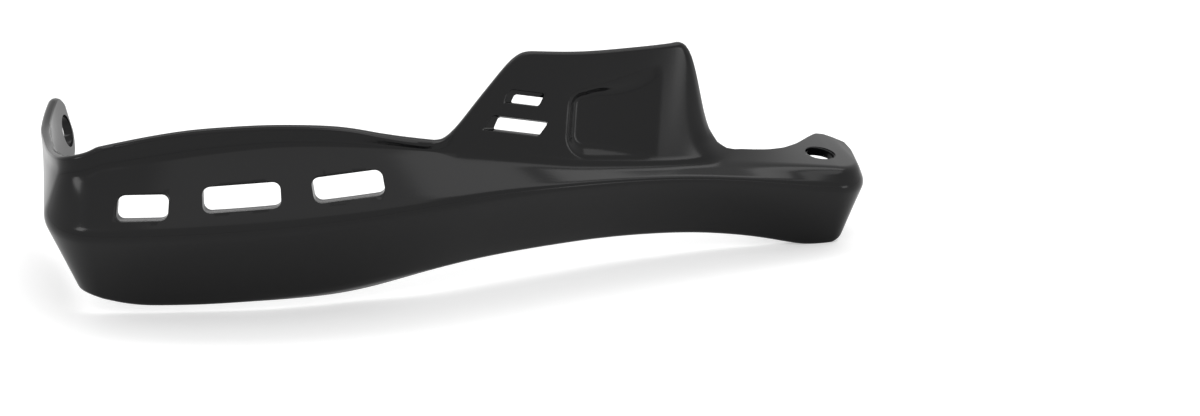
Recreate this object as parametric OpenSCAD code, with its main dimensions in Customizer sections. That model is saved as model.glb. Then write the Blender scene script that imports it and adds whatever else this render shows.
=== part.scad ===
// Motorcycle hand guard for one side, moulded in one piece, with a raised wind deflector
// Frame: origin at the bar-end bore on the wall's inner face, +X towards the inner plate,
// +Y towards the rider, +Z up

/* [Material] */
// Wall thickness of the moulding
wall = 3.2; // [2.4:0.1:3.8]

/* [Bar-end ear] */
// Diameter of the bar-end bolt's bore
ear_bore_d = 11.5; // [8:0.5:13]
// Tilt of the bore's axis above level, in degrees
ear_tilt = 11.5; // [6:0.5:16]
// Radius of the ear's rounded end
ear_r = 10.5; // [9.5:0.5:12]
// Distance from the bore's middle to the ear's rear end
ear_back = 7.8; // [7.4:0.2:10]
// Height of the ear's middle above the bore's middle
ear_rise = 2; // [0:0.5:3]

/* [Side wall] */
// Length of the straight wall at the ear
ear_wall_length = 29; // [24:1:36]
// Angle by which the wall turns inward towards the blade
side_turn = 10; // [4:1:14]
// Radius of that bend
side_bend_r = 60; // [40:5:90]
// Length of the wall between the bend and the outer corner
side_length = 38; // [32:1:44]
// Depth of the wall's lower border below the ridge, near the corner
side_drop = 23; // [19:1:26]

/* [Blade] */
// Radius of the outer corner, in plan
corner_r = 22; // [18:1:28]
// Angle turned by the outer corner
corner_turn = 70; // [64:1:76]
// Radius of the blade's sweep, in plan
blade_r = 215; // [190:5:260]
// Angle turned by the blade's sweep
blade_turn = 34; // [28:1:38]
// Depth of the sloping upper face, from ridge to crease
upper_depth = 18; // [13:0.5:20]
// Rise of the sloping upper face, from ridge to crease
upper_rise = 22.5; // [17:0.5:24]
// Height of the upright lip above the crease
lip_height = 7; // [5:0.5:9]
// Depth of the skirt below the ridge
skirt_drop = 29.5; // [24:0.5:33]
// Distance by which the skirt's lower edge stands back from the ridge
skirt_back = 13; // [8:0.5:16]
// Height of the turned-in strip along the lower edge
strip_height = 2.5; // [1.5:0.5:4]
// Rise of the ridge from the outer corner to the deflector
ridge_rise = 6.5; // [3:0.5:9]

/* [Blade slots] */
// Height of the slots
slot_height = 8.8; // [6:0.2:10]
// Corner radius of the slots
slot_corner_r = 2.6; // [1:0.2:2.9]
// Width of the outer slot
slot_width_outer = 17; // [14:0.5:20]
// Width of the middle slot
slot_width_middle = 25; // [20:0.5:28]
// Width of the inner slot
slot_width_inner = 23; // [20:0.5:26]
// Distance from the outer corner to the middle of the outer slot
slot_start = 17; // [15:0.5:19]
// Spacing from the outer slot to the middle slot
slot_step_outer = 33; // [31:0.5:35]
// Spacing from the middle slot to the inner slot
slot_step_inner = 35.5; // [33:0.5:37]
// Distance up the face from the ridge to the middle of the outer slot
slot_up_outer = 10.2; // [9:0.2:12]
// Distance up the face from the ridge to the middles of the other slots
slot_up = 12; // [9:0.2:14]

/* [Deflector] */
// Distance along the guard from the blade's outer corner to the deflector's outer root
deflector_start = 116; // [112:1:120]
// Width of the deflector at its root
deflector_root_width = 100; // [96:1:104]
// Height of the deflector's outer top corner above the crease
deflector_height = 35; // [25:1:42]
// Height of its inner top corner above the crease
deflector_inner_height = 40.5; // [36:0.5:44]
// Distance by which the top edge stands back from the root
deflector_lean = 8; // [4:0.5:12]
// Run of the sloping outer edge
deflector_outer_run = 24; // [18:1:30]
// Run of the steep inner edge
deflector_inner_run = 14; // [10:1:18]
// Rounding of the deflector's corners
deflector_rounding = 9; // [6:1:12]

// Height of the upper vent's top edge above the crease
vent_height = 21; // [19:0.5:22]
// Spacing of the two vents
vent_pitch = 8.5; // [8:0.5:9]
// Width of the upper vent
vent_width = 11.6; // [8:0.2:12]
// Width of the lower vent
lower_vent_width = 17; // [13:0.2:17.6]
// Opening height of the vents
vent_gap = 3.6; // [2.6:0.2:4.2]
// Width of the sloping recess round the vents
vent_recess = 1; // [0.4:0.1:1.4]

/* [Scoop] */
// Depth of the moulded scoop in the deflector's face
scoop_depth = 2.5; // [1.5:0.5:3.5]
// Distance from the deflector's outer root to the scoop
scoop_start = 44; // [40:1:48]
// Width of the scoop
scoop_width = 42; // [36:1:44]

/* [Arm and plate] */
// Length of the straight arm behind the deflector
arm_straight = 37; // [34:1:40]
// Radius of the arm's return sweep
arm_r = 480; // [420:10:600]
// Angle turned by the arm's return sweep
arm_turn = 11; // [9:0.5:12]
// Depth of the arm's narrow upper face
band_depth = 7; // [5:0.5:9]
// Rise of the arm's narrow upper face
band_rise = 3; // [2.6:0.2:6]
// Fall of the ridge from the deflector to the inner end
ridge_fall = 15.5; // [12:0.5:19]
// Radius of the inner corner, in plan
end_r = 12; // [11.5:0.5:14]
// Angle turned by the inner corner
end_turn = 84; // [80:1:90]
// Length of the end wall
end_length = 13; // [10:1:15]
// Diameter of the inner mount's bore
plate_bore_d = 10.2; // [6:0.2:10.6]
// Tilt of the plate towards the inner end, in degrees
plate_tilt = 11.5; // [8:0.5:14]

/* [Hidden] */
$fn = 48;
// The path follows the outer skin, which stands one wall outside the bore's inner end
start_x = -wall / cos(ear_tilt);
// Height of the ear's crease above the bore's middle
ear_crease = 7;

// Plan line of the ridge, as runs of [length, turn]
function arc_run(r, turn) = [r * abs(turn) * PI / 180, turn];
runs = [
    [ear_wall_length, 0],
    arc_run(side_bend_r, side_turn),
    [side_length, 0],
    arc_run(corner_r, corner_turn),
    arc_run(blade_r, blade_turn),
    [arm_straight, 0],
    arc_run(arm_r, -arm_turn),
    arc_run(end_r, end_turn),
    [end_length, 0]
];

// Pose [x, y, heading] after a stretch of one run
function along(pose, run, stretch) = let (
    turn = run[1] * stretch / run[0],
    chord = run[1] == 0 ? stretch : 2 * run[0] / (run[1] * PI / 180) * sin(turn / 2),
    way = pose[2] + turn / 2
) [pose[0] + chord * cos(way), pose[1] + chord * sin(way), pose[2] + turn];

poses = [for (i = 0, p = [start_x, ear_back, -90]; i < len(runs); p = along(p, runs[i], runs[i][0]), i = i + 1) p];
marks = [for (i = 0, s = 0; i <= len(runs); s = s + (i < len(runs) ? runs[i][0] : 0), i = i + 1) s];
function run_at(s) = max(0, min(len(runs) - 1, len([for (m = marks) if (m <= s) 1]) - 1));
function ridge_pose(s) = let (i = run_at(s)) along(poses[i], runs[i], s - marks[i]);

// Places along the ridge
corner_start = marks[3];
blade_start = marks[4];
deflector_end = blade_start + deflector_start + deflector_root_width;
deflector_begin = blade_start + deflector_start;
arm_end = marks[7];
end_wall = marks[8];
tip = marks[9];

// A table's value at s, with its corners rounded over a length
function mean(list) = [for (v = list) 1] * list / len(list);
function eased(table, s, length) = mean([for (k = [-4:4]) lookup(s + length * k / 8, table)]);

// Sections are drawn in the upright plane across the ridge: n outward, z up, both from the ridge
ridge_z = [
    [0, 0],
    [corner_start, -1.5],
    [blade_start, -2],
    [blade_start + 34, 0],
    [blade_start + 70, ridge_rise - 4.5],
    [deflector_begin, ridge_rise - 1.8],
    [deflector_begin + 24, ridge_rise - 1.8],
    [deflector_begin + 48, ridge_rise - 3.2],
    [deflector_end - 24, ridge_rise - 5.5],
    [deflector_end - 4, ridge_rise - 8],
    [arm_end - 18, ridge_rise - 13],
    [arm_end, ridge_rise - 2 - ridge_fall],
    [tip, ridge_rise - 4 - ridge_fall]
];
crease_n = [
    [0, ear_crease * tan(ear_tilt)],
    [ear_wall_length - 8, ear_crease * tan(ear_tilt)],
    [corner_start - 20, -2],
    [corner_start, -5.5],
    [blade_start - 8, 2.5 - upper_depth],
    [blade_start + 30, -upper_depth],
    [blade_start + 60, -0.5 - upper_depth],
    [blade_start + 90, 0.8 - upper_depth],
    [deflector_begin, 4 - upper_depth],
    [deflector_begin + 26, -10],
    [deflector_begin + 50, -band_depth],
    [deflector_end - 22, 1 - band_depth],
    [deflector_end, -1 - band_depth],
    [arm_end - 10, 1 - band_depth],
    [arm_end, 2.5 - band_depth],
    [end_wall, 5 - band_depth],
    [tip, 5.5 - band_depth]
];
crease_z = [
    [0, ear_crease],
    [ear_wall_length, ear_crease],
    [corner_start - 20, 10],
    [corner_start, 15],
    [blade_start, upper_rise - 3.7],
    [blade_start + 34, upper_rise - 0.3],
    [blade_start + 60, upper_rise + 0.4],
    [blade_start + 80, upper_rise - 1.5],
    [deflector_begin, upper_rise - 8.5],
    [deflector_begin + 24, 9],
    [deflector_begin + 46, band_rise + 1.6],
    [deflector_end - 24, band_rise - 0.4],
    [deflector_end, band_rise],
    [arm_end - 30, band_rise],
    [arm_end, band_rise + 3.2],
    [tip, band_rise + 3.2]
];
lower_n = [
    [0, (ear_rise - ear_r) * tan(ear_tilt)],
    [ear_wall_length, -2.5],
    [corner_start - 14, -7],
    [corner_start, -9.5],
    [blade_start - 10, -7.5],
    [blade_start, 4 - skirt_back],
    [blade_start + 34, -skirt_back],
    [blade_start + 80, -1.5 - skirt_back],
    [deflector_begin + 14, -2 - skirt_back],
    [deflector_begin + 64, -1 - skirt_back],
    [deflector_end, 1.5 - skirt_back],
    [arm_end - 18, 4.8 - skirt_back],
    [arm_end, 6.6 - skirt_back],
    [end_wall, 6.6 - skirt_back],
    [tip, -4]
];
lower_z = [
    [0, ear_rise - ear_r],
    [ear_r, ear_rise - ear_r],
    [ear_wall_length + 6, -17],
    [ear_wall_length + 16, -side_drop],
    [corner_start, 0.4 - side_drop],
    [blade_start - 6, -0.6 - side_drop],
    [blade_start + 10, 1.7 - skirt_drop],
    [blade_start + 34, -skirt_drop],
    [blade_start + 80, -0.8 - skirt_drop],
    [deflector_begin + 14, 2 - skirt_drop],
    [deflector_begin + 54, 4 - skirt_drop],
    [arm_end - 50, 5.5 - skirt_drop],
    [arm_end - 26, 6 - skirt_drop],
    [arm_end - 8, 5.3 - skirt_drop],
    [arm_end + 4, 8.5 - skirt_drop],
    [end_wall, 14.5 - skirt_drop],
    [tip, -6]
];
// The turned-in strip shows between the middle of the blade and the deflector; elsewhere it is a plain rim
rim = 0.8;
strip_z = [
    [0, rim],
    [blade_start + 48, rim],
    [blade_start + 92, strip_height],
    [blade_start + 116, rim],
    [tip, rim]
];

// Top border, from the crease: [along, outward, up]
lip_n = [
    [0, (ear_r + ear_rise - ear_crease) * tan(ear_tilt)],
    [ear_wall_length - 8, 4.5 * tan(ear_tilt)],
    [ear_wall_length + 10, 0],
    [corner_start, 0],
    [blade_start + 30, 1],
    [deflector_begin, 1]
];
lip_z = [
    [0, ear_r + ear_rise - ear_crease],
    [ear_wall_length, 4.5],
    [corner_start - 12, 4.5],
    [corner_start, 5.2],
    [blade_start - 8, lip_height - 0.6],
    [blade_start + 14, lip_height + 0.2],
    [blade_start + 30, lip_height],
    [blade_start + 64, lip_height - 1.5],
    [blade_start + 88, lip_height - 1.8],
    [deflector_begin - 5, 1.8]
];
deflector_n = [
    [deflector_begin, 1],
    [deflector_begin + deflector_outer_run, -deflector_lean],
    [deflector_end - deflector_inner_run, -deflector_lean],
    [deflector_end, -6]
];
deflector_z = [
    [deflector_begin, 1.2],
    [deflector_begin + 5, 4.5],
    [deflector_begin + deflector_outer_run, deflector_height - 2],
    [deflector_end - deflector_inner_run, deflector_inner_height],
    [deflector_end - 2, 4],
    [deflector_end, 1]
];
deflector_along = [
    [deflector_begin, 0],
    [deflector_begin + deflector_outer_run, 9.5],
    [deflector_end - deflector_inner_run, 6.5],
    [deflector_end - 2, 1.5],
    [deflector_end, 1]
];

// Plate round the inner bore: its middle, and the back border as offsets from the bore
plate_bore = [262, -10.5, -4.2];
back_edge = [
    [deflector_end, [-31, -9.5]],
    [deflector_end + 10, [-24.5, -7]],
    [arm_end - 24, [-18, -3.8]],
    [arm_end - 18, [-12.5, 0.5]],
    [arm_end - 12, [-7.5, 7]],
    [arm_end - 7, [-3.2, 15]],
    [arm_end - 2, [-0.3, 19.8]],
    [arm_end + 5, [2.5, 20.4]],
    [end_wall, [5.4, 19]],
    [tip, [9.8, 16.2]]
];
function plate_z(x) = plate_bore[2] - (x - plate_bore[0]) * tan(plate_tilt);
function back_point(s) = let (
    x = plate_bore[0] + lookup(s, [for (row = back_edge) [row[0], row[1][0]]]),
    y = plate_bore[1] + lookup(s, [for (row = back_edge) [row[0], row[1][1]]])
) [x, y, plate_z(x)];

// The ear's rounded end draws all heights together towards its middle
function ear_share(s) = s >= ear_r ? 1 : sqrt(1 - pow(1 - s / ear_r, 2));
function ear_z(z, s) = ear_rise + (z - ear_rise) * ear_share(s);

// Point in space from a section's [n, z] at s, with a shift along the heading
function place(s, n, z, shift = 0) = let (
    p = ridge_pose(s)
) [
    p[0] + n * sin(p[2]) + shift * cos(p[2]),
    p[1] - n * cos(p[2]) + shift * sin(p[2]),
    eased(ridge_z, s, 30) + z
];
function crease_nz(s) = [eased(crease_n, s, 24), eased(crease_z, s, 24)];
function top_raw(s) = let (c = crease_nz(s))
    s < deflector_begin ? place(s, c[0] + eased(lip_n, s, 16), c[1] + eased(lip_z, s, 16)) :
    s < deflector_end ? place(s, c[0] + lookup(s, deflector_n), c[1] + lookup(s, deflector_z), lookup(s, deflector_along)) :
    back_point(s);
function top_point(s) = let (
    w = s > arm_end - 30 ? 3 : deflector_rounding
) mean([for (k = [-4:4]) top_raw(s + w * k / 8)]);

// Corner points of the section at s, in space: top, crease, ridge, lower edge, strip
function corners(s) = let (
    c = crease_nz(s),
    low = [eased(lower_n, s, 20), eased(lower_z, s, 16)],
    strip = eased(strip_z, s, 16)
) [
    top_point(s),
    place(s, c[0], c[1]),
    place(s, 0, 0),
    place(s, low[0], low[1]),
    place(s, low[0] - strip * low[0] / low[1] - (strip - rim) * 0.5, low[1] - strip)
];
function squeezed(points, s) = s >= ear_r ? points :
    [for (p = points) let (z = ear_z(p[2], s)) [p[0] - (z - p[2]) * tan(ear_tilt), p[1], z]];

// A line through a section's corners, with the inner ones rounded
crease_rounding = 5;
ridge_rounding = 3.2;
function bend(a, b, c, reach) = let (
    la = norm(b - a),
    lc = norm(c - b),
    r = min(reach, 0.4 * la, 0.4 * lc),
    p = b + (a - b) * r / la,
    q = b + (c - b) * r / lc
) [for (k = [0:3]) let (t = k / 3) p * (1 - t) * (1 - t) + b * 2 * t * (1 - t) + q * t * t];
function straight(a, b, cells) = [for (k = [1:cells - 1]) a + (b - a) * k / cells];

// The scoop sinks into the deflector's face: steep at its outer side, fading towards the inner one
function ramp(t) = let (u = min(1, max(0, t))) u * u * (3 - 2 * u);
// Its upper, middle and lower places, as shares of the face's height from the top border
scoop_upper = 0.42;
scoop_middle = 0.64;
scoop_lower = 0.97;
scoop_step = 3.5;
scoop_corner = 10;
function scoop(s, share) = let (
    run = s - deflector_begin - scoop_start,
    upper = scoop_upper - 0.3 * run / scoop_width,
    corner = scoop_corner * pow(max(0, abs(share - scoop_middle) - 0.15) / 0.18, 2),
    along = ramp((run - corner) / scoop_step) * (1 - ramp((run - 10) / (scoop_width - 10))),
    down = ramp((share - upper) / (0.08 + 0.4 * ramp(run / 24))) * ramp((scoop_lower - share) / 0.09)
) scoop_depth * along * down;
top_cells = 11;
function upper_part(a, b, s) = let (h = ridge_pose(s)[2])
    [for (k = [1:top_cells - 1]) a + (b - a) * k / top_cells - scoop(s, k / top_cells) * [sin(h), -cos(h), 0]];
function outline(c, s, crease_reach, ridge_reach) = let (
    crease = bend(c[0], c[1], c[2], crease_reach),
    ridge = bend(c[1], c[2], c[3], ridge_reach)
) concat(
    [c[0]],
    upper_part(c[0], crease[0], s),
    crease,
    straight(crease[3], ridge[0], 3),
    ridge,
    straight(ridge[3], c[3], 3),
    [c[3]],
    [c[4]]
);

// Stations along the ridge, closer where the outline turns
function spread(a, b, gap) = let (cells = max(1, round((b - a) / gap))) [for (k = [0:cells - 1]) a + (b - a) * k / cells];
stations = concat(
    [for (a = [14:12.6:89]) ear_r * (1 - cos(a))],
    spread(ear_r, corner_start, 8),
    spread(corner_start, blade_start, 3.4),
    spread(blade_start, deflector_begin - 3, 6),
    spread(deflector_begin - 3, deflector_begin + deflector_outer_run + 6, 3),
    spread(deflector_begin + deflector_outer_run + 6, deflector_end - deflector_inner_run - 6, 4),
    spread(deflector_end - deflector_inner_run - 6, deflector_end + 4, 2),
    spread(deflector_end + 4, arm_end - 26, 5),
    spread(arm_end - 26, tip, 2.6),
    [tip]
);
rows = len(stations);
edge_rows = [for (s = stations) squeezed(corners(s), s)];

// The inner skin stands one wall behind the faces between the corners
function unit(v) = v / norm(v);
plate_normal = [sin(plate_tilt), 0, cos(plate_tilt)];
ear_normal = [-cos(ear_tilt), 0, -sin(ear_tilt)];
function face_normal(i, k) = let (
    side = max(k, 1),
    ahead = edge_rows[min(i + 1, rows - 1)][side] - edge_rows[max(i - 1, 0)][side],
    own = unit(cross(edge_rows[i][k + 1] - edge_rows[i][k], ahead)),
    on_plate = k == 0 ? ramp((stations[i] - arm_end + 26) / 20) : 0,
    on_ear = ramp((ear_wall_length - stations[i]) / (ear_wall_length - ear_r))
) unit(own * (1 - on_plate) * (1 - on_ear) + plate_normal * on_plate + ear_normal * on_ear);
function mitre(a, b) = (a + b) / (1 + a * b) * wall;
function half_turn(a, b) = norm(a - b) / norm(a + b);
function inner_outline(i) = let (
    c = edge_rows[i],
    n = [for (k = [0:3]) face_normal(i, k)],
    back = [c[0] - wall * n[0], c[1] - mitre(n[0], n[1]), c[2] - mitre(n[1], n[2]), c[3] - mitre(n[2], n[3]), c[4] - wall * n[3]]
) outline(back, stations[i], crease_rounding + wall * half_turn(n[0], n[1]), max(0.4, ridge_rounding - wall * half_turn(n[1], n[2])));
outer = [for (i = [0:rows - 1]) outline(edge_rows[i], stations[i], crease_rounding, ridge_rounding)];
inner = [for (i = [0:rows - 1]) inner_outline(i)];
cols = len(outer[0]);

function flat(lists) = [for (list = lists) each list];
function index(i, j, skin) = (skin * rows + i) * cols + j;
function cell(a, b, c, d) = [[a, b, c], [a, c, d]];
module shell() {
    faces = flat([
        for (i = [0:rows - 2]) each [
            for (j = [0:cols - 2]) cell(index(i, j, 0), index(i + 1, j, 0), index(i + 1, j + 1, 0), index(i, j + 1, 0)),
            for (j = [0:cols - 2]) cell(index(i, j, 1), index(i, j + 1, 1), index(i + 1, j + 1, 1), index(i + 1, j, 1)),
            cell(index(i, 0, 0), index(i, 0, 1), index(i + 1, 0, 1), index(i + 1, 0, 0)),
            cell(index(i, cols - 1, 0), index(i + 1, cols - 1, 0), index(i + 1, cols - 1, 1), index(i, cols - 1, 1))
        ],
        for (j = [0:cols - 2]) each [
            cell(index(0, j, 0), index(0, j + 1, 0), index(0, j + 1, 1), index(0, j, 1)),
            cell(index(rows - 1, j, 0), index(rows - 1, j, 1), index(rows - 1, j + 1, 1), index(rows - 1, j + 1, 0))
        ]
    ]);
    polyhedron(points = concat(flat(outer), flat(inner)), faces = faces);
}

// Frames on the moulding's faces: x along the guard, y up the face, z outward
function frame_at(point, ahead, up) = let (
    x = unit(ahead),
    z = unit(cross(x, up)),
    y = cross(z, x)
) [
    [x[0], y[0], z[0], point[0]],
    [x[1], y[1], z[1], point[1]],
    [x[2], y[2], z[2], point[2]],
    [0, 0, 0, 1]
];
function face_point(s, above) = let (c = corners(s)) c[2] + unit(c[1] - c[2]) * above;
function blade_frame(s, above) = frame_at(
    face_point(s, above),
    face_point(s + 4, above) - face_point(s - 4, above),
    face_point(s, 20) - face_point(s, 0)
);
slot_cut = 5 * wall;
module round_slot(width) {
    r = slot_corner_r;
    linear_extrude(slot_cut, center = true) union() {
        square([width - 2 * r, slot_height], center = true);
        square([width, slot_height - 2 * r], center = true);
        for (x = [-1, 1], y = [-1, 1])
            translate([x * (width / 2 - r), y * (slot_height / 2 - r)]) circle(r);
    }
}
module blade_slots() {
    first = blade_start + slot_start;
    second = first + slot_step_outer;
    third = second + slot_step_inner;
    multmatrix(blade_frame(first, slot_up_outer)) round_slot(slot_width_outer);
    multmatrix(blade_frame(second, slot_up)) round_slot(slot_width_middle);
    multmatrix(blade_frame(third, slot_up)) round_slot(slot_width_inner);
}

deflector_frame = let (s = deflector_begin + 26, c = corners(s))
    frame_at(c[1], corners(s + 4)[1] - corners(s - 4)[1], c[0] - c[1]);
// The recess reaches further out at its upper and outer sides
recess_shift = [-0.8, 0.4, 0];
module vent_outline(from, width, height, slant) {
    polygon([from, from + [width, 0], from + [width - slant, -height], from + [-slant, -height]]);
}
module vent(from, width, height, slant) {
    linear_extrude(slot_cut, center = true) vent_outline(from, width, height, slant);
    hull() {
        translate([0, 0, -wall / 2]) linear_extrude(0.1) vent_outline(from, width, height, slant);
        translate(recess_shift) linear_extrude(1) offset(delta = vent_recess) vent_outline(from, width, height, slant);
    }
}
module deflector_vents() {
    multmatrix(deflector_frame) {
        vent([-0.6, vent_height], vent_width, vent_gap, 1);
        vent([-3.2, vent_height - vent_pitch], lower_vent_width, vent_gap + 0.3, 2.6);
    }
}

module bores() {
    rotate([0, 90 - ear_tilt, 0]) cylinder(d = ear_bore_d, h = 6 * wall, center = true);
    translate(plate_bore) rotate([0, plate_tilt, 0]) cylinder(d = plate_bore_d, h = 6 * wall, center = true);
}

module guard() {
    color("#202024") difference() {
        shell();
        blade_slots();
        deflector_vents();
        bores();
    }
}
guard();
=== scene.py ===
import math

import bpy
import numpy as np
from mathutils import Matrix, Vector


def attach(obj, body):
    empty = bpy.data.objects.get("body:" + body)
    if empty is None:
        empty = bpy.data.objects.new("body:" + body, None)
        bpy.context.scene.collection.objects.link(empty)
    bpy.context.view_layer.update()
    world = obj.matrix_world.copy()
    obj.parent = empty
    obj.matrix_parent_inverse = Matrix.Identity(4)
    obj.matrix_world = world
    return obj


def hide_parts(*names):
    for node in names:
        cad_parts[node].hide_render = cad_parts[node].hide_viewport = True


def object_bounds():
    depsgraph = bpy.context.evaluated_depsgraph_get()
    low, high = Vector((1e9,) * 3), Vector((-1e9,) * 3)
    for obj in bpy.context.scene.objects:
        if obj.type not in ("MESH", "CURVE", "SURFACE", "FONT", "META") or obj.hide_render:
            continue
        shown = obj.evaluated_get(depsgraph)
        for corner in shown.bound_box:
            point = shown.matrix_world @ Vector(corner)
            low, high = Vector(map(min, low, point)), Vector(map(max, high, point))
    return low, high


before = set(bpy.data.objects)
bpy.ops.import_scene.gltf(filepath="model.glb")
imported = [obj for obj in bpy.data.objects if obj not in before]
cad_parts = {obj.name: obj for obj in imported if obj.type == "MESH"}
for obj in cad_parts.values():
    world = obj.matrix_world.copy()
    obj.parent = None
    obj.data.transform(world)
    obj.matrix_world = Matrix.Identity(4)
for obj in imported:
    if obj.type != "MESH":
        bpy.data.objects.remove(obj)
cad_low, cad_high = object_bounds()

bl_info = {
    "name": "Motorcycle hand guard",
    "version": (1, 0, 0),
    "blender": (4, 5, 0),
    "location": "3D View > Sidebar > Hand guard",
    "description": "Builds a moulded motorcycle hand guard with its slots, vents, deflector and mounts",
    "category": "Object",
}

MM = 0.001
NEAR = 1e-6

# Sizes of the moulding in millimetres and its angles in degrees, as in the part's source
WALL = 3.2
EAR_BORE_D = 11.5
EAR_TILT = 11.5
EAR_R = 10.5
EAR_BACK = 7.8
EAR_RISE = 2.0
EAR_CREASE = 7.0
EAR_WALL_LENGTH = 29.0
SIDE_TURN = 10.0
SIDE_BEND_R = 60.0
SIDE_LENGTH = 38.0
SIDE_DROP = 23.0
CORNER_R = 22.0
CORNER_TURN = 70.0
BLADE_R = 215.0
BLADE_TURN = 34.0
UPPER_DEPTH = 18.0
UPPER_RISE = 22.5
LIP_HEIGHT = 7.0
SKIRT_DROP = 29.5
SKIRT_BACK = 13.0
STRIP_HEIGHT = 2.5
RIM = 0.8
RIDGE_RISE = 6.5
RIDGE_FALL = 15.5
SLOT_HEIGHT = 8.8
SLOT_CORNER_R = 2.6
SLOT_WIDTHS = (17.0, 25.0, 23.0)
SLOT_STEPS = (17.0, 33.0, 35.5)
SLOT_UPS = (10.2, 12.0, 12.0)
DEFLECTOR_START = 116.0
DEFLECTOR_ROOT_WIDTH = 100.0
DEFLECTOR_HEIGHT = 35.0
DEFLECTOR_INNER_HEIGHT = 40.5
DEFLECTOR_LEAN = 8.0
DEFLECTOR_OUTER_RUN = 24.0
DEFLECTOR_INNER_RUN = 14.0
DEFLECTOR_ROUNDING = 9.0
SCOOP_DEPTH = 2.5
SCOOP_START = 44.0
SCOOP_WIDTH = 42.0
ARM_STRAIGHT = 37.0
ARM_R = 480.0
ARM_TURN = 11.0
BAND_DEPTH = 7.0
BAND_RISE = 3.0
END_R = 12.0
END_TURN = 84.0
END_LENGTH = 13.0
PLATE_BORE = (262.0, -10.5, -4.2)
PLATE_BORE_D = 10.2
PLATE_TILT = 11.5

# The slots lead almost level through the sloping face
SLOT_FALL = math.radians(5)

# Each vent's back and mouth: middle x, middle y, width, height and lean in the deflector's frame
UPPER_VENT = ((4.45, 19.5, 10.9, 2.9, 1.0), (2.75, 20.2, 12.9, 5.35, 1.4))
LOWER_VENT = ((3.25, 10.8, 17.6, 4.1, 1.2), (1.15, 10.8, 20.2, 6.0, 2.8))

# Place of the vents' frame along the deflector, their corner radius and the depth of their recess
VENT_PLACE = 26
VENT_CORNER_R = 0.8
VENT_RECESS = 1.3

# The scoop's outline: its upper line as a share of the face's height, the rise of that line, the
# height of its lower line, its run, and the margins before and after it in which it is worked out
SCOOP_UPPER = 0.375
SCOOP_RISE = 0.3
SCOOP_LOW = 0.3
SCOOP_LENGTH = 31.0
SCOOP_BEFORE = 1
SCOOP_AFTER = 4

# The scoop's step: its run, how much and from where the upper part of it widens, its two corners,
# the lean of its outer part, and the blends at its edge and at the scoop's base
SCOOP_STEP = 3.2
SCOOP_SPREAD = 0.5
SCOOP_SPREAD_START = 9
SCOOP_CORNER = 7.0
SCOOP_UPPER_CORNER = 4.5
SCOOP_LEAN = 1.6
SCOOP_EDGE = 0.25
SCOOP_BLEND = 0.5

# Roll of the deflector's inner border: its depth and width, the height at which it starts, and
# the places at which the border's height is read
ROLL_DEPTH = 1.2
ROLL_WIDTH = 3.0
ROLL_FOOT = 6
ROLL_REACH = 24
ROLL_PAST = 2
ROLL_SAMPLES = 53

# Rounding of the bends, of the borders and of the two ends, and its limits as shares
CREASE_ROUNDING = 5.0
DEFLECTOR_CREASE_ROUNDING = 2.4
RIDGE_ROUNDING = 3.2
ARM_RIDGE_ROUNDING = 2.2
LEAST_ROUNDING = 0.5
BEND_SHARE = 0.4
RIM_LIMIT = 0.3
RIM_SHARE = 0.1
LOW_RIM = 0.6
STRIP_LEAN = 0.5
END_ROUNDING = 1.3

# Lengths over which the corners of the section tables and of the flange are rounded
RIDGE_EASE = 30
CREASE_EASE = 24
LIP_EASE = 16
LOWER_N_EASE = 20
LOWER_Z_EASE = 16
STRIP_EASE = 16
FLANGE_ROUNDING = 3.0
FLANGE_REACH = 30

# Run over which the top border's wall turns from upright to lying in the plate
PLATE_TURN_START = 26
PLATE_TURN_RUN = 20

# Cells across the parts of a section, and the gaps between the sections
TOP_CELLS = 60
BEND_CELLS = 7
FACE_CELLS = 10
SKIRT_CELLS = 13
RIM_CELLS = 5
ROW_GAP = 1.15
FINE_ROW_GAP = 0.6
FINE_BEFORE = 3
FINE_EXTRA = 7
END_GAP = 2
EAR_ROW_ANGLES = (0, 5, 9, 13, 18, 24, 31, 38, 46, 54, 62, 70, 78, 84)
END_ROW_ANGLES = (0, 20, 40, 58, 74, 90)
SMOOTH_ANGLE = math.radians(38)

# Cutters of the openings, and the spans from which their frames are read
CUT_DEPTH = 9.0
CUT_CLEAR = 2.5
FLARE_STEPS = 5
CORNER_SEGMENTS = 7
BORE_SIDES = 72
BORE_FLARE = 0.35
FRAME_SPAN = 4
FACE_SPAN = 20

# Shine of the plastic, and its cloud and grain patterns
SPECULAR_LEVEL = 0.25
REFRACTION = 1.5
CLOUD_SCALE = 14.0
CLOUD_DETAIL = 3.0
CLOUD_RANGE = (0.3, 0.7)
TINT_SHARES = (0.8, 1.2)
GLOSS_RANGE = (-0.03, 0.04)
GRAIN_SCALE = 1500.0
GRAIN_DETAIL = 2.0
GRAIN_HEIGHT = 0.0001

# Floor, surroundings and camera
WHITE = (1, 1, 1, 1)
FLOOR_SIZE = 30.0
FLOOR_MIDDLE = (0.14, -0.04)
FLOOR_GAP = 0.0002
FLOOR_ROUGHNESS = 0.9
FLOOR_GLOW = 0.28
ROOM_LIGHT = 0.75
ROOM_SEEN = 1.0
SENSOR_WIDTH = 36.0
CLIP_START = 0.01
CLIP_END = 100.0

# Width and depth of each lamp, and its place from the guard's middle
TOP_LAMP = (1.3, 0.35, (0.0, 0.3, 0.85))
FRONT_LAMP = (1.2, 0.4, (0.0, -0.7, 1.05))
SIDE_LAMP = (0.5, 0.6, (0.42, -0.18, 1.0))
LOW_LAMP = (0.3, 0.26, (0.87, -0.59, 0.1))
LEFT_LAMP = (0.22, 0.26, (-0.77, -0.56, 0.6))


def arc_run(radius, turn):
    """Length and turn of an arc along the plan line."""
    return (radius * math.radians(abs(turn)), turn)


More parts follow.
